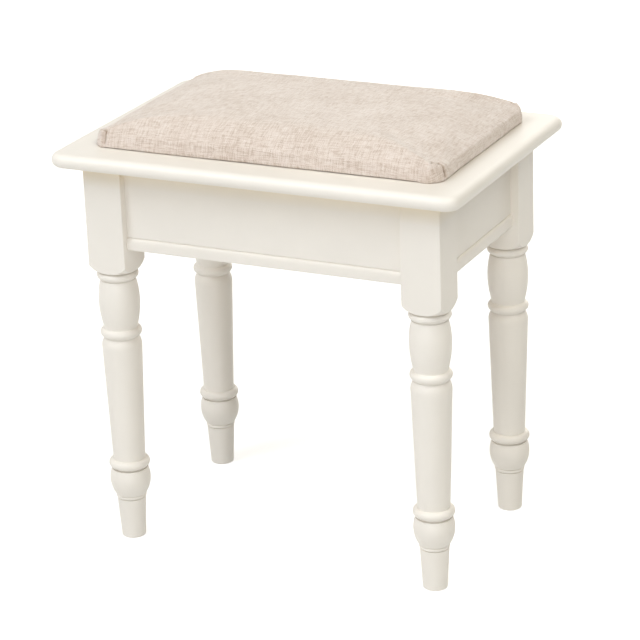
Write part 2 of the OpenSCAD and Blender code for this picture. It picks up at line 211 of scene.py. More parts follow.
def beech(name, turn):
    """Planed beech with fine straight grain along X, turned about Z."""
    material, tree, shader = new_material(name, BEECH, 0.62)
    place = object_place(tree, scale=(0.05, 1, 1), turn=(0, 0, turn))
    rings = noise(tree, place, 0.16, detail=4.0, distortion=0.6)
    pores = noise(tree, object_place(tree, scale=(0.12, 1, 1), turn=(0, 0, turn)), 2.2, detail=2.0)
    tone = blend_colours(tree, spread(tree, rings, 0.35, 0.68), BEECH, BEECH_DARK)
    fleck = spread(tree, pores, 0.60, 0.72, 1.0, 0.72)
    tree.links.new(scaled(tree, tone, fleck), shader.inputs["Base Color"])
    tree.links.new(bump(tree, pores, 0.08 * MM), shader.inputs["Normal"])
    return material


def plywood(name):
    """Sheet of thin plies: pale faces, with darker cross plies at the edge."""
    material, tree, shader = new_material(name, PLY_LIGHT, 0.7)
    low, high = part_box("pad_board")
    layer = spread(tree, height_of(tree), low.z, high.z, 0.0, PLIES)
    cross = calc(tree, "GREATER_THAN", calc(tree, "MODULO", layer, 2.0), 1.0)
    figure = noise(tree, object_place(tree, scale=(0.04, 0.5, 1)), 0.05, detail=3.0, distortion=1.5)
    tone = blend_colours(tree, figure, PLY_LIGHT, BEECH)
    tree.links.new(blend_colours(tree, cross, tone, PLY_DARK), shader.inputs["Base Color"])
    tree.links.new(bump(tree, figure, 0.1 * MM), shader.inputs["Normal"])
    return material


def zinc_plate(name):
    """Bright zinc on steel, a little cloudy."""
    material, tree, shader = new_material(name, ZINC, 0.32, metallic=1.0)
    cloud = noise(tree, object_place(tree), 0.35, detail=3.0)
    tree.links.new(spread(tree, cloud, 0.3, 0.7, 0.26, 0.46), shader.inputs["Roughness"])
    tree.links.new(bump(tree, noise(tree, object_place(tree), 3.0), 0.01 * MM), shader.inputs["Normal"])
    return material


def linen(name):
    """Slubby plain-woven linen, whose weave lies where the cloth place attribute says."""
    material, tree, shader = new_material(name, LINEN, 0.88)
    place = add(tree, "Attribute", attribute_name=CLOTH_PLACE).outputs["Vector"]
    place = scaled(tree, place, 1 / MM)
    wander = add(tree, "TexNoise", {"Vector": place, "Scale": 0.05, "Detail": 2.0}).outputs["Color"]
    drift = scaled(tree, wander, 3.0)
    place = add(tree, "VectorMath", {0: place, 1: drift}, operation="ADD").outputs[0]
    axes = add(tree, "SeparateXYZ", {0: place}).outputs
    warp_tone = threads(tree, place, along="y")
    weft_tone = threads(tree, place, along="x")
    warp = calc(tree, "DIVIDE", axes["X"], THREAD_PITCH)
    weft = calc(tree, "DIVIDE", axes["Y"], THREAD_PITCH)
    cells = calc(tree, "ADD", calc(tree, "FLOOR", warp), calc(tree, "FLOOR", weft))
    warp_over = calc(tree, "PINGPONG", cells, 1.0)
    tone = blend_values(tree, warp_over, weft_tone, warp_tone)
    mound = weave_mound(tree, warp, weft, warp_over)
    cloud = noise(tree, place, 0.018, detail=3.0)
    tone = calc(tree, "ADD", tone, spread(tree, cloud, 0.3, 0.7, -0.10, 0.10))
    colour = blend_colours(tree, spread(tree, tone, 0.12, 0.5), LINEN_DARK, LINEN)
    colour = blend_colours(tree, spread(tree, tone, 0.5, 0.92), colour, LINEN_LIGHT)
    # Painted shade in the gaps between threads, and a touch of painted light on their crowns
    shade = spread(tree, mound, 0.0, 0.55, 0.80, 1.04)
    colour = scaled(tree, colour, shade)
    # Cloth that is tucked in behind a fold lies in brown shade
    tucked = add(tree, "Attribute", attribute_name=TUCKED).outputs["Fac"]
    deep = add(tree, "VectorMath", {0: colour, 1: LINEN_SHADE}, operation="MULTIPLY").outputs[0]
    colour = blend_colours(tree, spread(tree, tucked, 0.1, 0.9), colour, deep)
    tree.links.new(colour, shader.inputs["Base Color"])
    tree.links.new(spread(tree, tone, 0, 1, 0.95, 0.8), shader.inputs["Roughness"])
    shader.inputs["Diffuse Roughness"].default_value = 0.8
    shader.inputs["Sheen Weight"].default_value = 0.35
    shader.inputs["Sheen Roughness"].default_value = 0.5
    shader.inputs["Sheen Tint"].default_value = (0.93, 0.96, 1.0, 1)
    shader.inputs["Specular IOR Level"].default_value = 0.2
    slubs = bump(tree, tone, 0.10 * MM)
    tree.links.new(bump(tree, mound, 0.12 * MM, slubs), shader.inputs["Normal"])
    return material


def weave_mound(tree, warp, weft, warp_over):
    """Height of the thread on top: round across, with a small dip where it goes under the next one."""
    across_warp, across_weft = half_wave(tree, warp), half_wave(tree, weft)
    warp_mound = calc(tree, "MULTIPLY", across_warp, spread(tree, across_weft, 0, 0.6, 0.45, 1))
    weft_mound = calc(tree, "MULTIPLY", across_weft, spread(tree, across_warp, 0, 0.6, 0.45, 1))
    return blend_values(tree, warp_over, weft_mound, warp_mound)


def half_wave(tree, value):
    """Height across threads of unit pitch, from zero in the gap to one on the crown."""
    return calc(tree, "ABSOLUTE", calc(tree, "SINE", calc(tree, "MULTIPLY", value, math.pi)))


def threads(tree, place, along):
    """Tone of the threads that run along one axis: fine streaks, broad bands and a few dark slubs."""
    def streaks(width, length, detail):
        """Noise in streaks of this size in millimetres."""
        stretch = (1 / width, 1 / length, 0) if along == "y" else (1 / length, 1 / width, 0)
        shift = (0, 0, 0) if along == "y" else (310, 170, 0)
        mapped = add(tree, "Mapping", {"Vector": place, "Scale": stretch, "Location": shift})
        return noise(tree, mapped.outputs["Vector"], 1.0, detail)

    fine = spread(tree, streaks(1.0, 12, 1.0), 0.25, 0.75, 0.0, 1.0)
    band = spread(tree, streaks(3.5, 40, 2.0), 0.3, 0.7, -0.15, 0.15)
    slub = spread(tree, streaks(1.6, 10, 0.0), 0.66, 0.76, 0.0, 0.45)
    return calc(tree, "SUBTRACT", calc(tree, "ADD", fine, band), slub)


FINISHES = {
    "paint_x": painted_wood("cream_paint_x", "x"),
    "paint_y": painted_wood("cream_paint_y", "y"),
    "paint_z": painted_wood("cream_paint_z", "z"),
    "beech_left": beech("beech_left", math.radians(45)),
    "beech_right": beech("beech_right", math.radians(-45)),
    "ply": plywood("plywood"),
    "zinc": zinc_plate("zinc_plate"),
    "linen": linen("linen"),
}


def finish_of(node):
    """The finish of a CAD node, from its name."""
    if node.startswith("leg_"):
        return FINISHES["paint_z"]
    if node in ("rail_left", "rail_right"):
        return FINISHES["paint_y"]
    if node in ("rail_front", "rail_back", "seat_top"):
        return FINISHES["paint_x"]
    if node in ("corner_block_front_left", "corner_block_back_right", "dowels"):
        return FINISHES["beech_left"]
    if node.startswith("corner_block_"):
        return FINISHES["beech_right"]
    if node == "pad_board":
        return FINISHES["ply"]
    if node in ("pad_cover", "pad_foam"):
        return FINISHES["linen"]
    return FINISHES["zinc"]


def paint_nodes():
    """Gives every CAD node its finish."""
    for name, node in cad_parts.items():
        for slot in node.material_slots:
            slot.material = finish_of(name)


# ---- Mesh helpers ----

# Faces that meet at more than this angle meet in an edge
EDGE_ANGLE = math.radians(32)


def read_points(mesh):
    """Places of a mesh's points, one to a row."""
    points = np.empty(3 * len(mesh.vertices))
    mesh.vertices.foreach_get("co", points)
    return points.reshape(-1, 3)


def read_normals(mesh):
    """Normals at a mesh's points, one to a row."""
    normals = np.empty(3 * len(mesh.vertices))
    mesh.vertex_normals.foreach_get("vector", normals)
    return normals.reshape(-1, 3)


def write_points(mesh, points):
    """Moves a mesh's points to these places."""
    mesh.vertices.foreach_set("co", np.asarray(points, dtype=float).ravel())
    mesh.update()


def new_object(name, data):
    """Adds an object to the scene."""
    made = bpy.data.objects.new(name, data)
    bpy.context.scene.collection.objects.link(made)
    return made


def make_piece(name, mesh, finish):
    """A piece of the visual model, which rides with the stool."""
    mesh.materials.clear()
    mesh.materials.append(finish)
    piece = new_object(name, mesh)
    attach(piece, BODY)
    return piece


def apply_modifiers(piece):
    """Turns what the modifiers make into the piece's own mesh."""
    depsgraph = bpy.context.evaluated_depsgraph_get()
    made = bpy.data.meshes.new_from_object(piece.evaluated_get(depsgraph))
    piece.modifiers.clear()
    piece.data = made


def hull_mesh(name, source):
    """Closed convex form around a mesh."""
    form = bmesh.new()
    for point in read_points(source):
        form.verts.new(point)
    bmesh.ops.remove_doubles(form, verts=form.verts, dist=0.01 * MM)
    made = bmesh.ops.convex_hull(form, input=form.verts)
    inner = [g for g in made["geom_interior"] if isinstance(g, bmesh.types.BMVert)]
    bmesh.ops.delete(form, geom=inner, context="VERTS")
    mesh = bpy.data.meshes.new(name)
    form.to_mesh(mesh)
    form.free()
    return mesh


def sharp_mesh(name, form):
    """Mesh of a finished bmesh form, smooth but for its real edges."""
    bmesh.ops.recalc_face_normals(form, faces=form.faces)
    mesh = bpy.data.meshes.new(name)
    form.to_mesh(mesh)
    form.free()
    mesh.shade_smooth()
    mesh.set_sharp_from_angle(angle=EDGE_ANGLE)
    return mesh


def arc(middle, radii, start, end, steps):
    """Points of an elliptic arc between two angles in degrees."""
    angles = np.radians(np.linspace(start, end, steps + 1))
    return [(middle[0] + radii[0] * math.cos(a), middle[1] + radii[1] * math.sin(a)) for a in angles]


def prism(near, far):
    """Closed form between two outlines with the same number of corners."""
    form = bmesh.new()
    rings = [[form.verts.new(place) for place in outline] for outline in (near, far)]
    for i in range(len(near)):
        j = (i + 1) % len(near)
        form.faces.new((rings[0][i], rings[0][j], rings[1][j], rings[1][i]))
    for ring in rings:
        form.faces.new(ring)
    return form


def smooth_step(value, low, high):
    """Zero below low and one above high, with a soft passage between."""
    t = np.clip((value - low) / (high - low), 0, 1)
    return t * t * (3 - 2 * t)


def waves(points, length, seed):
    """Smooth unevenness between about -1 and 1, with bumps about this far apart."""
    shift = Vector((11.3 * seed, 5.7 * seed, 2.9 * seed))
    return np.array([wave_noise.noise(Vector(p) / length + shift) for p in points]) * 1.6


# ---- Seat pad ----

# Voxels of the mesh that is simulated, and of the mesh that is shown
COARSE_VOXEL = 4 * MM
FINE_VOXEL = 2 * MM
# How far the blank is shrunk before the filling swells it, and the most that it swells
PAD_SHRINK = 1.0 * MM
PAD_SWELL = 2.2 * MM
PAD_PRESSURE = 4.0
PAD_FRAMES = 20
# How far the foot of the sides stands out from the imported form
FOOT_OUT = 3.0 * MM
# The pad sits a little behind the middle of the top
PAD_BACK = 3.5 * MM
# Level of the slab's upper face, and of the pad's lower edge above it
SLAB_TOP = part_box("seat_top")[1].z
PAD_LIFT = 0.9 * MM
BOARD_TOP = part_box("pad_board")[1].z
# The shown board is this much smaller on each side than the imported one, which leaves room to press
# the cloth in beside a fold
BOARD_TRIM = 1.2 * MM
BOARD_CORNER = 14 * MM


def voxel_blank(voxel):
    """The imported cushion's outer form as an even mesh, with its lower edge lifted off the slab."""
    blank = new_object("blank", hull_mesh("blank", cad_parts["pad_cover"].data))
    remesh = blank.modifiers.new("remesh", "REMESH")
    remesh.mode = "VOXEL"
    remesh.voxel_size = voxel
    apply_modifiers(blank)
    points = read_points(blank.data)
    points[:, 2] = np.maximum(points[:, 2], SLAB_TOP + PAD_LIFT)
    write_points(blank.data, points)
    return blank


def swell(pad, held):
    """Fills the pad: pressure from inside stretches its cloth, which is held along the board."""
    held_group = pad.vertex_groups.new(name="held")
    held_group.add([int(i) for i in np.nonzero(held)[0]], 1.0, "REPLACE")
    cloth = pad.modifiers.new("cloth", "CLOTH")
    settings = cloth.settings
    settings.vertex_group_mass = held_group.name
    settings.use_pressure = True
    settings.uniform_pressure_force = PAD_PRESSURE
    settings.tension_stiffness = settings.compression_stiffness = 60
    settings.shear_stiffness = 20
    settings.bending_stiffness = 2
    settings.effector_weights.gravity = 0
    scene = bpy.context.scene
    cloth.point_cache.frame_start = scene.frame_start = 1
    cloth.point_cache.frame_end = scene.frame_end = PAD_FRAMES
    for step in range(1, PAD_FRAMES + 1):
        scene.frame_set(step)
    apply_modifiers(pad)
    scene.frame_set(1)


def swollen_shift():
    """Points of the blank, and how far the filling moves each of them."""
    blank = voxel_blank(COARSE_VOXEL)
    points, normals = read_points(blank.data), read_normals(blank.data)
    # The board keeps the lower part of the sides to its own outline
    shrink = PAD_SHRINK * smooth_step(points[:, 2], BOARD_TOP - 4 * MM, BOARD_TOP + 4 * MM)
    start = points - normals * shrink[:, None]
    write_points(blank.data, start)
    swell(blank, points[:, 2] < BOARD_TOP - 3 * MM)
    moved = read_points(blank.data) - start
    bpy.data.objects.remove(blank)
    far = np.linalg.norm(moved, axis=1, keepdims=True)
    return points, start + moved * PAD_SWELL / (PAD_SWELL + far) - points


def pad_body():
    """The pad without its folds: swollen by simulation, with the unevenness of hand upholstery."""
    known, shift = swollen_shift()
    pad = voxel_blank(FINE_VOXEL)
    refine_near_creases(pad.data)
    points, normals = read_points(pad.data), read_normals(pad.data)
    points = points + spread_shift(known, shift, points)
    side = 1 - smooth_step(np.abs(normals[:, 2]), 0.3, 0.8)
    # Slow hollows and swells of the filling
    uneven = 0.35 * MM * waves(points, 60 * MM, 1) + 0.12 * MM * waves(points, 22 * MM, 2)
    # The staples under the board pull the sides into shallow ripples
    ripples = 0.3 * MM * side * waves(points * (1, 1, 0.25), 14 * MM, 3)
    points = points + normals * (uneven + ripples)[:, None]
    points = straighten_sides(points)
    points[:, 1] += PAD_BACK
    points[:, 2] = np.maximum(points[:, 2], SLAB_TOP + 0.2 * MM)
    faces = [tuple(f.vertices) for f in pad.data.polygons]
    bpy.data.objects.remove(pad)
    return points, faces


def build_pad():
    """Foam pad in a linen cover, with its folded corners laid on it."""
    points, faces = pad_body()
    tucked = np.zeros(len(points))
    for corner in PAD_CORNERS:
        points, share = press_behind_fold(draw_in(points, corner), corner)
        tucked = np.maximum(tucked, share)
    places = cloth_places(points, faces)
    body = BVHTree.FromPolygons([Vector(p) for p in points], faces)
    for corner in PAD_CORNERS:
        more_points, more_faces, more_places = corner_fold(body, corner)
        faces += [tuple(i + len(points) for i in face) for face in more_faces]
        points = np.vstack([points, more_points])
        places = np.vstack([places, more_places])
    mesh = bpy.data.meshes.new("seat_pad")
    mesh.from_pydata([tuple(p) for p in points], [], faces)
    laid = mesh.attributes.new(CLOTH_PLACE, "FLOAT_VECTOR", "POINT")
    laid.data.foreach_set("vector", places.ravel())
    tucked = np.concatenate([tucked, np.zeros(len(points) - len(tucked))])
    mesh.attributes.new(TUCKED, "FLOAT", "POINT").data.foreach_set("value", tucked)
    mesh.shade_smooth()
    pad = make_piece("seat_pad", mesh, FINISHES["linen"])
    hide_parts("pad_cover", "pad_foam")


def straighten_sides(points):
    """Lets the foot of the sides out, so that the cloth falls nearly straight from the rim."""
    inner = points.max(0)[:2] - PAD_CORNER, points.min(0)[:2] + PAD_CORNER
    _, outward, far = step_out(points, inner)
    low = np.clip(1 - (points[:, 2] - SLAB_TOP) / (BOARD_TOP - SLAB_TOP), 0, 1)
    outer = smooth_step(far, 0.5 * PAD_CORNER, 0.8 * PAD_CORNER)
    points[:, :2] += outward * (FOOT_OUT * low * outer)[:, None]
    return points


def build_board():
    """The pad's plywood board, as far behind the middle of the top as the cushion on it."""
    low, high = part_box("pad_board")
    half = (high.x - BOARD_TRIM - BOARD_CORNER, high.y - BOARD_TRIM - BOARD_CORNER)
    outline = []
    for right, back, start in ((1, 1, 0), (-1, 1, 90), (-1, -1, 180), (1, -1, 270)):
        middle = (right * half[0], back * half[1] + PAD_BACK)
        outline += arc(middle, (BOARD_CORNER, BOARD_CORNER), start, start + 90, 8)
    form = prism(*([(x, y, z) for x, y in outline] for z in (low.z, high.z)))
    mesh = sharp_mesh("pad_board_ply", form)
    board = make_piece("pad_board_ply", mesh, finish_of("pad_board"))
    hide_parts("pad_board")


def spread_shift(known, shift, points):
    """Shift at each point, between those of the known points nearest to it."""
    tree = KDTree(len(known))
    for i, point in enumerate(known):
        tree.insert(point, i)
    tree.balance()
    spread_out = np.zeros_like(points)
    for i, point in enumerate(points):
        near = tree.find_n(point, 8)
        weights = np.array([1 / (distance + MM) ** 2 for _, _, distance in near])
        spread_out[i] = weights @ shift[[j for _, j, _ in near]] / weights.sum()
    return spread_out


# ---- Folded corners of the pad ----

PAD_LOW, PAD_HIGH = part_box("pad_cover")
# Plan radius of the pad's corners
PAD_CORNER = 20 * MM
# The middle that a corner's cloth is drawn round, above the slab
FOLD_MIDDLE = 6 * MM
# A fold starts on one side of the stool and ends in an upright crease just before the next one
FOLD_START = math.radians(-17)
FOLD_CREASE = math.radians(73)
# How far the folded cloth stands proud, how deep its edges lie in the pad, and its least thickness
FOLD_PROUD = 1.7 * MM
FOLD_SUNK = 0.5 * MM
FOLD_SHELL = 0.6 * MM
# How deep the cloth beside a fold is pressed in
FOLD_PRESS = 2.6 * MM
# How far the weave of a fold leans, as an angle
FOLD_LEAN = 0.25
# Height of a fold in millimetres, about
FOLD_HEIGHT = 18
# A fold's points lie close together along its crease and its top: millimetres from there
FOLD_EDGE_STEPS = [0, 0.04, 0.15, 0.35, 0.6, 0.9, 1.3, 1.9]
# The rest of it has this many even columns and rows, which stop this far short of the close ones
FOLD_COLUMNS = 44
FOLD_ROWS = 20
FOLD_EDGE_GAP = 0.04


def pad_corner(right, back, facing, pull, boldness):
    """A corner's middle, the way its fold's first side faces, its draw inward and its fold's boldness."""
    x = PAD_HIGH.x - PAD_CORNER if right else PAD_LOW.x + PAD_CORNER
    y = PAD_HIGH.y - PAD_CORNER if back else PAD_LOW.y + PAD_CORNER
    return Vector((x, y + PAD_BACK, SLAB_TOP + FOLD_MIDDLE)), math.radians(facing), pull, boldness


# Front right, back right, back left and front left
PAD_CORNERS = [
    pad_corner(True, False, -90, 0.3 * MM, 1.0),
    pad_corner(True, True, 0, 0.0, 0.22),
    pad_corner(False, True, 90, 1.0 * MM, 0.22),
    pad_corner(False, False, 180, 2.5 * MM, 0.8),
]


def refine_near_creases(mesh):
    """Divides the faces beside the folds finely enough for a sharp tuck."""
    form = bmesh.new()
    form.from_mesh(mesh)
    for middle, facing, _, _ in PAD_CORNERS:
        turn = facing + FOLD_CREASE - 0.1
        spot = middle.xy - Vector((0, PAD_BACK)) + PAD_CORNER * Vector((math.cos(turn), math.sin(turn)))
        near = [e for e in form.edges if (e.verts[0].co.xy - spot).length < 9 * MM]
        bmesh.ops.subdivide_edges(form, edges=near, cuts=2, use_grid_fill=True)
    form.to_mesh(mesh)
    form.free()


def draw_in(points, corner):
    """Draws a corner in towards the middle of the pad, as tight cloth does above the board."""
    middle, _, pull, _ = corner
    inward = np.array((-math.copysign(1, middle.x), -math.copysign(1, middle.y), 0)) / math.sqrt(2)
    far = np.linalg.norm(points[:, :2] - np.array(middle)[:2], axis=1)
    share = 1 - smooth_step(far, 0.5 * PAD_CORNER, 3 * PAD_CORNER)
    share *= 0.2 + 0.8 * smooth_step(points[:, 2], SLAB_TOP, BOARD_TOP)
    return points + share[:, None] * inward * pull


def fold_top(turn):
    """Angle above the level at which a fold ends: low at the rim, up over the roll, lower at the crease."""
    rising = smooth_step(turn, math.radians(5), math.radians(43))
    falling = smooth_step(turn, math.radians(43), FOLD_CREASE)
    return np.radians(17 + 27 * rising - 10 * falling)


def press_behind_fold(points, corner):
    """Tucks the cloth in beside a fold's crease and above its top, and tells how deep each point goes."""
    middle, facing, _, boldness = corner
    away = points - np.array(middle)
    turn = np.mod(np.arctan2(away[:, 1], away[:, 0]) - facing + math.pi, 2 * math.pi) - math.pi
    out = np.linalg.norm(away, axis=1)
    rise = np.arcsin(np.clip(away[:, 2] / out, -1, 1))
    past = (turn - FOLD_CREASE) * out
    above = (rise - fold_top(turn)) * out
    # A strip beside the crease, and one above the fold's top
    below_top = 1 - smooth_step(above, -1 * MM, 3 * MM)
    beside = (past > -2 * MM) * (1 - smooth_step(past, 0.2 * MM, 5 * MM)) * below_top
    near_crease = smooth_step(turn, math.radians(26), math.radians(40)) * (turn < FOLD_CREASE + 0.2)
    over = near_crease * (above > -2 * MM) * (1 - smooth_step(above, 0.2 * MM, 4 * MM))
    close = out < 2 * PAD_CORNER
    # The hem along the slab stays where it is
    free = smooth_step(points[:, 2], SLAB_TOP + 2 * MM, SLAB_TOP + 5 * MM)
    share = close * free * boldness * np.maximum(beside, 0.9 * over)
    return points - away / out[:, None] * (FOLD_PRESS * share)[:, None], share


def pointing(level, rise):
    """Direction at an angle round the level and an angle above it."""
    return Vector((math.cos(rise) * math.cos(level), math.cos(rise) * math.sin(level), math.sin(rise)))


def rounded_edge(distance, radius):
    """Rise of a folded edge: zero at the edge, and one from a radius inside it."""
    inside = np.clip(distance / radius, 0, 1)
    return math.sqrt(1 - (1 - inside) ** 2)


def fold_grid():
    """Turns of the columns of a fold's points and shares of the way up of its rows, close at its edges."""
    turns = [FOLD_CREASE - step * MM / PAD_CORNER for step in FOLD_EDGE_STEPS]
    turns = list(np.linspace(FOLD_START, turns[-1] - FOLD_EDGE_GAP, FOLD_COLUMNS)) + turns[::-1]
    shares = [1 - step / FOLD_HEIGHT for step in FOLD_EDGE_STEPS]
    shares = list(np.linspace(0, shares[-1] - FOLD_EDGE_GAP, FOLD_ROWS)) + shares[::-1]
    return turns, shares


def fold_lift(turn, to_crease, to_top, to_start):
    """How far a point of a fold stands up, from zero at the fold's edges to one."""
    softness = (1.0 + 6 * (1 - smooth_step(turn, math.radians(30), math.radians(46)))) * MM
    lift = rounded_edge(to_crease, 1.0 * MM) * rounded_edge(to_top, softness)
    return lift * smooth_step(to_start, 0, 9 * MM)


def fold_weave(turn, down):
    """Place on the flat cloth of a point of a fold, whose weave leans as it turns the corner."""
    lean = FOLD_LEAN * float(smooth_step(turn, 0, math.radians(60)))
    cos, sin = math.cos(lean), math.sin(lean)
    along = turn * PAD_CORNER
    return along * cos + down * sin, down * cos - along * sin, 0


def corner_fold(body, corner):
    """The flap in which the cloth of one side is laid round a corner, as a closed shell on the pad."""
    middle, facing, _, boldness = corner
    turns, shares = fold_grid()
    bottom = -math.atan2(FOLD_MIDDLE - 0.3 * MM, PAD_CORNER - 3 * MM)
    outer, inner, places = [], [], []
    for turn in turns:
        down, last = 0.0, None
        top = float(fold_top(turn))
        for share in shares:
            rise = bottom + (top - bottom) * share
            direction = pointing(facing + turn, rise)
            spot, normal, _, _ = body.ray_cast(middle, direction)
            out = (spot - middle).length
            outward = (direction + normal).normalized()
            to_crease = (FOLD_CREASE - turn) * out * math.cos(rise)
            lift = fold_lift(turn, to_crease, (top - rise) * out, (turn - FOLD_START) * out)
            lifted = spot + outward * (boldness * FOLD_PROUD * lift - FOLD_SUNK * (1 - lift))
            lifted.z = max(lifted.z, SLAB_TOP + 0.15 * MM)
            outer.append(lifted)
            inner.append(spot - outward * (FOLD_SUNK + FOLD_SHELL))
            down += (spot - last).length if last else 0
            last = spot
            places.append(fold_weave(turn, down))
    places = np.array(places)
    if abs(math.cos(facing)) > 0.5:
        places = places[:, [1, 0, 2]]
    faces = shell_faces(len(turns), len(shares))
    points = np.array([tuple(p) for p in outer + inner])
    return points, faces, np.vstack([places, places])


def shell_faces(columns, rows):
    """Faces of a closed shell: an outer grid, an inner one and the strips between their edges."""
    count = columns * rows
    faces = []
    for i in range(columns - 1):
        for j in range(rows - 1):
            a, b = i * rows + j, (i + 1) * rows + j
            faces.append((a, b, b + 1, a + 1))
            faces.append((count + a, count + a + 1, count + b + 1, count + b))
    rim = [i * rows for i in range(columns)]
    rim += [(columns - 1) * rows + j for j in range(1, rows)]
    rim += [i * rows + rows - 1 for i in range(columns - 2, -1, -1)]
    rim += [j for j in range(rows - 2, 0, -1)]
    for a, b in zip(rim, rim[1:] + rim[:1]):
        faces.append((b, a, count + a, count + b))
    return faces


# ---- The weave's place on the pad ----

# Steps of the angle at which the pad's roll is measured, from straight up to a little below the level
ROLL_ANGLES = np.radians(np.linspace(90, -30, 41))
# Length that a turned corner takes of the way round the pad
CORNER_WAY = 30 * MM
# Samples of the pad's upper face across and deep, and of the way round it
SAMPLES_WIDE = 89
SAMPLES_DEEP = 51
SAMPLES_ROUND = 240


def cloth_places(points, faces):
    """Where each point of the pad lies on its flat cloth: distances over the surface from its middle."""
    tree = BVHTree.FromPolygons([Vector(p) for p in points], faces)
    inner = points.max(0)[:2] - PAD_CORNER, points.min(0)[:2] + PAD_CORNER
    foot, outward, far = step_out(points, inner)
    xs = np.linspace(inner[1][0], inner[0][0], SAMPLES_WIDE)
    ys = np.linspace(inner[1][1], inner[0][1], SAMPLES_DEEP)
    down = Vector((0, 0, -1))
    heights = np.array([[tree.ray_cast(Vector((x, y, 1)), down)[0].z for y in ys] for x in xs])
    across = sample_grid(lengths_from_middle(xs, heights), xs, ys, foot)
    back = sample_grid(lengths_from_middle(ys, heights.T).T, xs, ys, foot)
    # From the foot of each point on the flat middle, the cloth runs out over the roll and down the side
    ways = np.linspace(0, 4 * CORNER_WAY + 2 * (inner[0] - inner[1]).sum(), SAMPLES_ROUND)
    rolls = np.array([roll_lengths(tree, *station(way, inner)) for way in ways])
    rise = np.arctan2(points[:, 2] - SLAB_TOP - FOLD_MIDDLE, far)
    drop = ROLL_ANGLES[0] - np.clip(rise, ROLL_ANGLES[-1], ROLL_ANGLES[0])
    where = np.stack([way_round(foot, outward, inner), drop], axis=1)
    run = sample_grid(rolls, ways, ROLL_ANGLES[0] - ROLL_ANGLES, where) * (far > 0)
    level = np.zeros(len(points))
    return np.stack([across + outward[:, 0] * run, back + outward[:, 1] * run, level], axis=1)


def step_out(points, inner):
    """Nearest place in the pad's flat middle, and the level direction and distance from there."""
    foot = np.clip(points[:, :2], inner[1], inner[0])
    away = points[:, :2] - foot
    far = np.linalg.norm(away, axis=1)
    return foot, away / np.maximum(far, 1e-9)[:, None], far


def way_round(foot, outward, inner):
    """Length of way round the flat middle, anticlockwise from the front of its right side."""
    (right, back), (left, front) = inner
    turn = np.mod(np.arctan2(outward[:, 1], outward[:, 0]), 2 * math.pi) / (math.pi / 2)
    side = turn.astype(int) % 4
    deep, wide = back - front, right - left
    along = np.choose(side, [
        foot[:, 1] - front,
        deep + right - foot[:, 0],
        deep + wide + back - foot[:, 1],
        2 * deep + wide + foot[:, 0] - left,
    ])
    return along + CORNER_WAY * turn


def station(way, inner):
    """Place on the edge of the flat middle, and the direction outward, at a length of way round it."""
    (right, back), (left, front) = inner
    half_way = [back - front, CORNER_WAY, right - left, CORNER_WAY]
    knots = np.cumsum([0] + half_way + half_way)
    x = np.interp(way, knots, [right, right, right, left, left, left, left, right, right])
    y = np.interp(way, knots, [front, back, back, back, back, front, front, front, front])
    turn = np.interp(way, knots, np.radians([0, 0, 90, 90, 180, 180, 270, 270, 360]))
    return Vector((x, y, SLAB_TOP + FOLD_MIDDLE)), turn


def roll_lengths(tree, middle, turn):
    """Lengths over the pad's edge in one upright section, from above the middle outward and down."""
    hits = [tree.ray_cast(middle, pointing(turn, rise))[0] for rise in ROLL_ANGLES]
    pieces = [(b - a).length for a, b in zip(hits, hits[1:])]
    return np.concatenate([[0], np.cumsum(pieces)])


def lengths_from_middle(steps, heights):
    """Lengths over the surface along the first axis of a grid of heights, from the middle of that axis."""
    pieces = np.hypot(np.diff(steps)[:, None], np.diff(heights, axis=0))
    lengths = np.vstack([np.zeros(heights.shape[1]), np.cumsum(pieces, axis=0)])
    return lengths - lengths[len(steps) // 2]


def sample_grid(grid, xs, ys, places):
    """Values of a grid at the places, between its rows and columns."""
    i = np.clip((places[:, 0] - xs[0]) / (xs[1] - xs[0]), 0, len(xs) - 1.001)
    j = np.clip((places[:, 1] - ys[0]) / (ys[1] - ys[0]), 0, len(ys) - 1.001)
    i0, j0 = i.astype(int), j.astype(int)
    fi, fj = i - i0, j - j0
    near = grid[i0, j0] * (1 - fj) + grid[i0, j0 + 1] * fj
    far = grid[i0 + 1, j0] * (1 - fj) + grid[i0 + 1, j0 + 1] * fj
    return near * (1 - fi) + far * fi


# ---- Rails ----

# Height of the bead along a rail's lower edge, and of the round over its top
BEAD_HIGH = 13.0 * MM
BEAD_ROUND = 5.5 * MM
# How far the bead stands proud of the rail's face
BEAD_PROUD = 2.5 * MM
# The fine quirk that sets the bead off from the face above it
QUIRK_DEEP = 0.6 * MM
QUIRK_HIGH = 1.0 * MM
# Rounding of the lower edge
RAIL_EDGE = 1.2 * MM
# The way that each rail's face looks
RAILS = {
    "rail_front": (0, -1, 0),
    "rail_back": (0, 1, 0),
    "rail_left": (-1, 0, 0),
    "rail_right": (1, 0, 0),
}


def rail_outline(thick, high):
    """Section of a rail as steps outward from its face and upward from its lower edge."""
    low_edge = arc((BEAD_PROUD - RAIL_EDGE, RAIL_EDGE), (RAIL_EDGE, RAIL_EDGE), -90, 0, 5)
    crown = arc((-QUIRK_DEEP, BEAD_HIGH - BEAD_ROUND), (BEAD_PROUD + QUIRK_DEEP, BEAD_ROUND), 0, 90, 14)
    quirk = [(-QUIRK_DEEP, BEAD_HIGH + 0.4 * QUIRK_HIGH), (0, BEAD_HIGH + QUIRK_HIGH)]
    return [(-thick, 0)] + low_edge + crown + quirk + [(0, high), (-thick, high)]


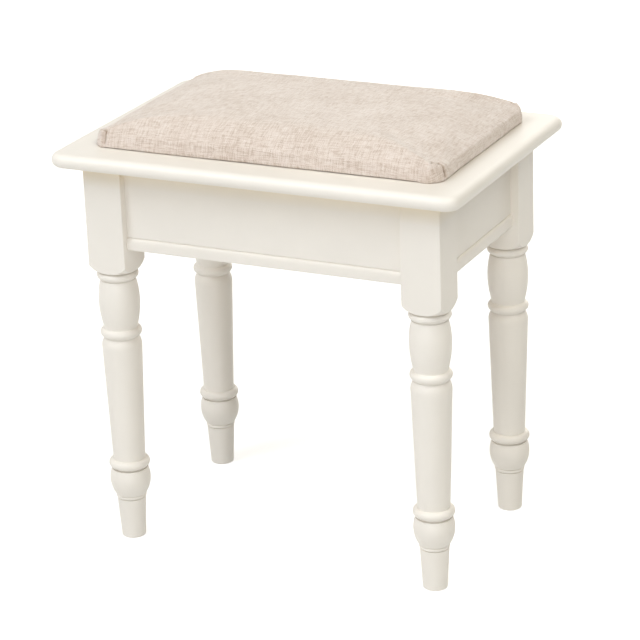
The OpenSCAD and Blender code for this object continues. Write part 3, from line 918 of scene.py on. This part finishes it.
def build_rail(node, outward):
    """A rail between two legs, with a bold bead along its lower outer edge."""
    low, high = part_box(node)
    outward = Vector(outward)
    along = Vector((abs(outward.y), abs(outward.x), 0))
    size = high - low
    face = max(outward.dot(low), outward.dot(high))
    ends = [outward * face + along * along.dot(end) + Vector((0, 0, low.z)) for end in (low, high)]
    outline = rail_outline(abs(outward.dot(size)), size.z)
    form = prism(*([end + outward * out + Vector((0, 0, up)) for out, up in outline] for end in ends))
    mesh = sharp_mesh(node + "_beaded", form)
    rail = make_piece(node + "_beaded", mesh, finish_of(node))
    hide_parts(node)


# ---- Fixings ----

# Thread of the hanger bolts
THREAD_STEP = 1.25 * MM
THREAD_DEEP = 0.6 * MM
# The stretch of a bolt that carries the thread, from its tail inward
THREAD_LONG = 14 * MM
# Chamfer of the nuts' corners
NUT_CHAMFER = math.tan(math.radians(28))
BOLT_R = 4.0 * MM


def solids_of(node):
    """Points of each separate solid of a CAD node."""
    form = bmesh.new()
    form.from_mesh(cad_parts[node].data)
    bmesh.ops.remove_doubles(form, verts=form.verts, dist=0.001 * MM)
    left, found = set(form.verts), []
    for first in form.verts:
        if first not in left:
            continue
        left.remove(first)
        reached, solid = [first], []
        while reached:
            vert = reached.pop()
            solid.append(tuple(vert.co))
            near = {edge.other_vert(vert) for edge in vert.link_edges} & left
            left -= near
            reached += near
        found.append(np.array(solid))
    form.free()
    return found


def seats_of(node, upright):
    """Where each fixing of a node shows: its outer end, the direction it points in and its length."""
    found = []
    for points in solids_of(node):
        middle = Vector((points.min(0) + points.max(0)) / 2)
        corner = Vector((math.copysign(1, middle.x), math.copysign(1, middle.y), 0)).normalized()
        axis = Vector((0, 0, 1)) if upright else corner
        along = points @ np.array(axis)
        found.append((middle + axis * (along.min() - middle.dot(axis)), axis, along.max() - along.min()))
    return found


def turned(section, around, closed=False):
    """Form turned about Z, whose half section may change with the angle, and its first and last rings."""
    form = bmesh.new()
    ribs = []
    for i in range(around):
        angle = 2 * math.pi * i / around
        cos, sin = math.cos(angle), math.sin(angle)
        ribs.append([form.verts.new((r * cos, r * sin, z)) for r, z in section(angle)])
    count = len(ribs[0])
    for a, b in zip(ribs, ribs[1:] + ribs[:1]):
        for j in range(count if closed else count - 1):
            k = (j + 1) % count
            form.faces.new((a[j], b[j], b[k], a[k]))
    return form, [rib[0] for rib in ribs], [rib[-1] for rib in ribs]


def cross_corners(arm, half, z):
    """The twelve corners of a cross, in order."""
    quarter = [Vector((arm, -half, z)), Vector((arm, half, z)), Vector((half, half, z))]
    turns = [Matrix.Rotation(i * math.pi / 2, 3, "Z") for i in range(4)]
    return [turn @ corner for turn in turns for corner in quarter]


def loop_edges(form, ring):
    """Edges of a closed ring of corners, made where they are missing."""
    pairs = zip(ring, ring[1:] + ring[:1])
    return [form.edges.get(pair) or form.edges.new(pair) for pair in pairs]


def screw(profile, arm):
    """Screw turned from a half section that starts at the flat of its head, which has a cross recess."""
    form, head, tip = turned(lambda angle: profile, 28)
    form.faces.new(tip)
    upper = [form.verts.new(p) for p in cross_corners(arm, 0.24 * arm, 0)]
    lower = [form.verts.new(p) for p in cross_corners(0.5 * arm, 0.16 * arm, 0.75 * arm)]
    rim = loop_edges(form, head) + loop_edges(form, upper)
    bmesh.ops.triangle_fill(form, use_beauty=True, edges=rim)
    for i in range(12):
        j = (i + 1) % 12
        form.faces.new((upper[i], upper[j], lower[j], lower[i]))
    form.faces.new(lower)
    return form


def countersunk_screw(length):
    """4 mm screw whose 8 mm head lies flush."""
    head_r, shank_r = 4 * MM, 2 * MM
    cone = [(head_r, 0), (head_r, 0.2 * MM), (shank_r, head_r - shank_r + 0.2 * MM)]
    return screw(cone + [(shank_r, length - 5 * MM), (0.2 * MM, length)], 2.3 * MM)


def pan_screw(length, head_r, shank_r):
    """Screw with a domed head, flat over its recess."""
    head_h = 2.8 * MM
    flat_r = 0.6 * head_r
    radii = (head_r - flat_r, 0.55 * head_h)
    dome = [(head_r - x, z) for x, z in arc(radii, radii, -90, -180, 6)]
    under = [(head_r, head_h), (shank_r, head_h), (shank_r, length - 2.5 * shank_r), (0.2 * MM, length)]
    return screw(dome + under, 0.52 * head_r)


def top_screw(length):
    """4 mm screw that holds the top."""
    return pan_screw(length, 4 * MM, 2 * MM)


def pad_screw(length):
    """5 mm screw that holds the pad's board."""
    return pan_screw(length, 5 * MM, 2.5 * MM)


def hanger_bolt(length):
    """M8 bolt with a rolled thread on the end that carries the nut."""
    shank_r = BOLT_R - 0.3 * MM

    def section(angle):
        """Half section, whose thread shifts as it goes round."""
        steps = np.arange(0, THREAD_LONG, THREAD_STEP / 8)
        phase = np.mod(steps / THREAD_STEP - angle / (2 * math.pi), 1)
        radii = BOLT_R - THREAD_DEEP * np.abs(2 * phase - 1)
        radii = np.minimum(radii, BOLT_R - THREAD_DEEP - 0.3 * MM + steps)
        shank = [(shank_r, THREAD_LONG), (shank_r, length - BOLT_R), (0.4 * BOLT_R, length)]
        return list(zip(radii, steps)) + shank

    form, tail, tip = turned(section, 40)
    form.faces.new(tail)
    form.faces.new(tip)
    return form


def washer(length):
    """Stamped washer, with its upper edge rolled over a little."""
    outer, inner, roll = 10 * MM, 4.25 * MM, 0.4 * MM
    rolled = arc((outer - roll, roll), (roll, roll), -90, 0, 3)
    profile = [(inner, length), (inner, roll), (inner + roll, 0)] + rolled + [(outer, length)]
    return turned(lambda angle: profile, 48, closed=True)[0]


def nut(length):
    """M8 nut, whose corners are chamfered at both faces."""
    half = 6.5 * MM
    face_r = 0.96 * half

    def section(angle):
        """Half section, which is widest at a corner."""
        flat = math.fmod(angle, math.pi / 3) - math.pi / 6
        r = half / math.cos(flat)
        fall = (r - face_r) * NUT_CHAMFER
        return [
            (BOLT_R - 0.2 * MM, 0.6 * MM), (BOLT_R + 0.4 * MM, 0), (face_r, 0), (r, fall),
            (r, length - fall), (face_r, length), (BOLT_R - 0.2 * MM, length),
        ]

    return turned(section, 72, closed=True)[0]


def build_fixings(node, name, make, upright=False):
    """All the fixings of a CAD node, each where its solid lies, as one piece."""
    joined = bmesh.new()
    for start, axis, length in seats_of(node, upright):
        form = make(length)
        form.transform(Matrix.Translation(start) @ axis.to_track_quat("Z", "Y").to_matrix().to_4x4())
        mesh = sharp_mesh("one", form)
        joined.from_mesh(mesh)
        bpy.data.meshes.remove(mesh)
    piece = make_piece(name, sharp_mesh(name, joined), FINISHES["zinc"])
    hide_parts(node)


# ---- Stage, lights and camera ----

# Half the floor's side, and its colour
FLOOR_HALF = 12.0
FLOOR_GREY = (0.79, 0.79, 0.79)
# Light from all round: its colour and strength
ROUND_COLOUR = (1, 0.94, 0.78)
ROUND_STRENGTH = 0.2
# Side of each softbox, and the place that they face
SOFTBOX = 1.6
LIT_PLACE = Vector((0, 0, 0.3))
# Name, place, watts and colour of each softbox
LAMPS = (
    ("key", (-1.2, -1.9, 2.6), 42, (0.93, 0.96, 1)),
    ("front_right", (1.6, -2.0, 2.2), 15, (0.93, 0.96, 1)),
    ("low_front", (0.5, -3.0, 0.6), 16, (0.95, 0.97, 1)),
    ("overhead", (-0.6, -0.8, 2.9), 7, (0.93, 0.96, 1)),
    ("right", (1.5, -0.4, 2.7), 28, (1, 0.965, 0.86)),
    ("left", (-2.6, 0.2, 1.4), 9, (1, 0.96, 0.83)),
    ("back", (0.0, 2.7, 0.9), 20, (1, 0.97, 0.9)),
)
# The camera: its place, how it is turned from straight back, tilted down and rolled, and its lens
CAMERA_PLACE = (1.1899, -2.4451, 1.2642)
CAMERA_TURN = math.radians(25.742)
CAMERA_TILT = math.radians(20.715)
CAMERA_ROLL = math.radians(-2.022)
CAMERA_LENS = 151.72
CAMERA_SENSOR = 36.0
CAMERA_SHIFT = (-0.008, 0.0006)


def build_floor():
    """Wide pale floor. It is lifted to white for the camera, and keeps the stool's shadow."""
    material, tree, shader = new_material("floor", FLOOR_GREY, 0.9)
    shader.inputs["Specular IOR Level"].default_value = 0.0
    grain = noise(tree, object_place(tree), 0.02)
    tree.links.new(spread(tree, grain, 0.3, 0.7, 0.86, 0.9), shader.inputs["Roughness"])
    path = add(tree, "LightPath")
    seen = calc(tree, "MAXIMUM", path.outputs["Is Camera Ray"], path.outputs["Is Glossy Ray"])
    shader.inputs["Emission Color"].default_value = (1, 1, 1, 1)
    # Far from the stool the lamps fade, and the lift makes up for it
    place = add(tree, "TexCoord").outputs["Object"]
    away = add(tree, "VectorMath", {0: place}, operation="LENGTH").outputs["Value"]
    lift = spread(tree, away, 0.8, 3.0, 0.6, 0.85)
    tree.links.new(calc(tree, "MULTIPLY", seen, lift), shader.inputs["Emission Strength"])
    mesh = bpy.data.meshes.new("floor")
    corners = [(-FLOOR_HALF, -FLOOR_HALF, 0), (FLOOR_HALF, -FLOOR_HALF, 0)]
    corners += [(FLOOR_HALF, FLOOR_HALF, 0), (-FLOOR_HALF, FLOOR_HALF, 0)]
    mesh.from_pydata(corners, [], [(0, 1, 2, 3)])
    mesh.materials.append(material)
    floor = new_object("floor", mesh)


def build_world():
    """Even soft light from all round, and white where the camera sees past the floor."""
    world = bpy.data.worlds.new("studio")
    world.use_nodes = True
    bpy.context.scene.world = world
    tree = world.node_tree
    path = add(tree, "LightPath")
    seen = calc(tree, "MAXIMUM", path.outputs["Is Camera Ray"], path.outputs["Is Glossy Ray"])
    seen = calc(tree, "MAXIMUM", seen, path.outputs["Is Transmission Ray"])
    background = tree.nodes["Background"].inputs
    tree.links.new(blend_colours(tree, seen, ROUND_COLOUR, (1, 1, 1)), background["Color"])
    tree.links.new(spread(tree, seen, 0, 1, ROUND_STRENGTH, 1.0), background["Strength"])


def build_lamp(name, place, watts, colour):
    """Square softbox that faces the middle of the stool."""
    lamp = bpy.data.lights.new(name, "AREA")
    lamp.size = SOFTBOX
    lamp.energy = watts
    lamp.color = colour
    made = new_object(name, lamp)
    made.location = place
    made.rotation_euler = (LIT_PLACE - made.location).to_track_quat("-Z", "Y").to_euler()


def build_camera():
    """Long lens, above and to the right of the stool's front."""
    forward = pointing(math.pi / 2 + CAMERA_TURN, -CAMERA_TILT)
    right = Vector((math.cos(CAMERA_TURN), math.sin(CAMERA_TURN), 0))
    up = right.cross(forward)
    across = right * math.cos(CAMERA_ROLL) + up * math.sin(CAMERA_ROLL)
    upward = up * math.cos(CAMERA_ROLL) - right * math.sin(CAMERA_ROLL)
    data = bpy.data.cameras.new("camera")
    data.lens = CAMERA_LENS
    data.sensor_width = CAMERA_SENSOR
    data.shift_x, data.shift_y = CAMERA_SHIFT
    camera = new_object("camera", data)
    facing = Matrix((across, upward, -forward)).transposed()
    camera.matrix_world = Matrix.Translation(CAMERA_PLACE) @ facing.to_4x4()
    bpy.context.scene.camera = camera


paint_nodes()
for rail, outward in RAILS.items():
    build_rail(rail, outward)
build_pad()
build_board()
build_fixings("hanger_bolts", "hanger_bolts_m8", hanger_bolt)
build_fixings("washers", "washers_m8", washer)
build_fixings("nuts", "nuts_m8", nut)
build_fixings("block_screws", "block_screws_cross", countersunk_screw)
build_fixings("top_screws", "top_screws_cross", top_screw, upright=True)
build_fixings("pad_screws", "pad_screws_cross", pad_screw, upright=True)
build_floor()
build_world()
for lamp in LAMPS:
    build_lamp(*lamp)
build_camera()
bpy.context.scene.view_settings.view_transform = "Standard"
